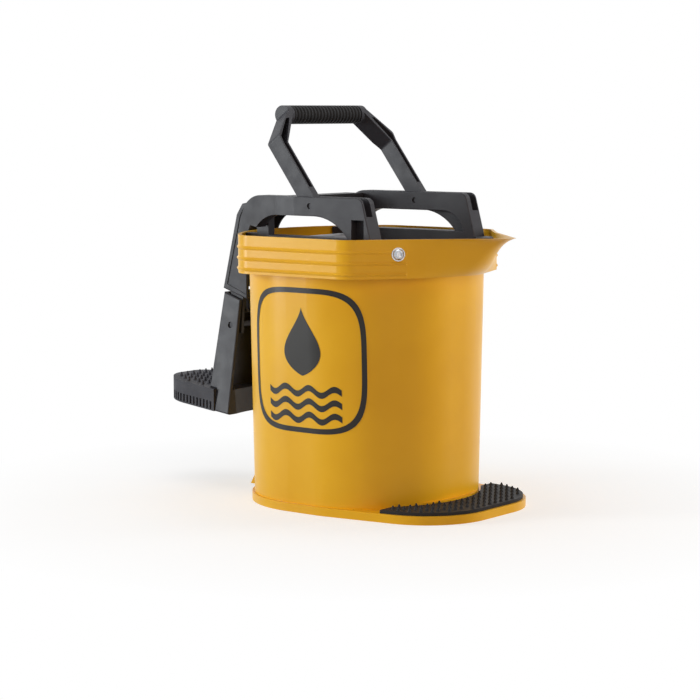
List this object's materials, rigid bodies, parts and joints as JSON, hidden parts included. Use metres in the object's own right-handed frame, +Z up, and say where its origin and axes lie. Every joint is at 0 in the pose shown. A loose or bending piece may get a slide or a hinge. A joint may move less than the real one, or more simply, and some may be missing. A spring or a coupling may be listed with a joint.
{
  "type": "wringer bucket",
  "caption": "Free-standing mop bucket with a pouring spout, a foot-lever roller wringer between side frames, a folding carry handle and a studded step plate",
  "frame": {"origin": "on the floor, on the plane of symmetry, straight under the pivots of the carry handle", "axes": "+X to the pouring spout and step plate, -X to the pedal, +Y to the far side, +Z up"},
  "size_m": [0.4525, 0.2668, 0.4254],
  "materials": {
    "yellow_plastic": "moulded, soft sheen",
    "black_plastic": "fine-grained moulding",
    "black_rubber": "matt",
    "grey_plastic": "smooth",
    "white_plastic": "smooth",
    "steel": "bright zinc plated"
  },
  "bodies": {
    "base": {"bucket": "yellow_plastic", "step_tread": "black_rubber", "side_frame_near": "black_plastic", "side_frame_far": "black_plastic", "front_roller_axle": "steel", "front_axle_clips": "steel", "lever_hinge_bushes": "white_plastic", "return_spring": "steel", "handle_pins": "black_plastic", "fixing_screws": "steel", "fixing_washers": "steel", "frame_tie": "steel", "tie_nuts": "steel"},
    "lever": {"lever_hood": "black_plastic", "lever_hinge_pins": "steel", "pedal_leg": "black_plastic", "pedal_pin": "black_plastic", "pedal_boot": "black_rubber", "rear_roller_axle": "steel", "rear_axle_clips": "steel"},
    "front_roller": {"front_roller": "grey_plastic", "front_roller_bushes": "white_plastic"},
    "rear_roller": {"rear_roller": "grey_plastic", "rear_roller_bushes": "white_plastic"},
    "handle": {"handle": "black_plastic", "grip": "black_rubber"}
  },
  "joints": [
    {"name": "lever_hinge", "type": "hinge", "parent": "base", "child": "lever", "pos_m": [-0.082, 0, 0.313], "axis": [0, -1, 0], "range_deg": [0, 10], "stiffness_Nm_per_rad": 3, "springref_deg": -28.65, "deforming": ["return_spring"]},
    {"name": "front_roller_spin", "type": "hinge", "parent": "base", "child": "front_roller", "pos_m": [-0.028, 0, 0.256], "axis": [0, 1, 0], "continuous": true},
    {"name": "rear_roller_spin", "type": "hinge", "parent": "lever", "child": "rear_roller", "pos_m": [-0.074, 0, 0.266], "axis": [0, 1, 0], "continuous": true},
    {"name": "handle_fold", "type": "hinge", "parent": "base", "child": "handle", "pos_m": [0, 0, 0.3215], "axis": [0, 1, 0], "range_deg": [0, 120]}
  ]
}
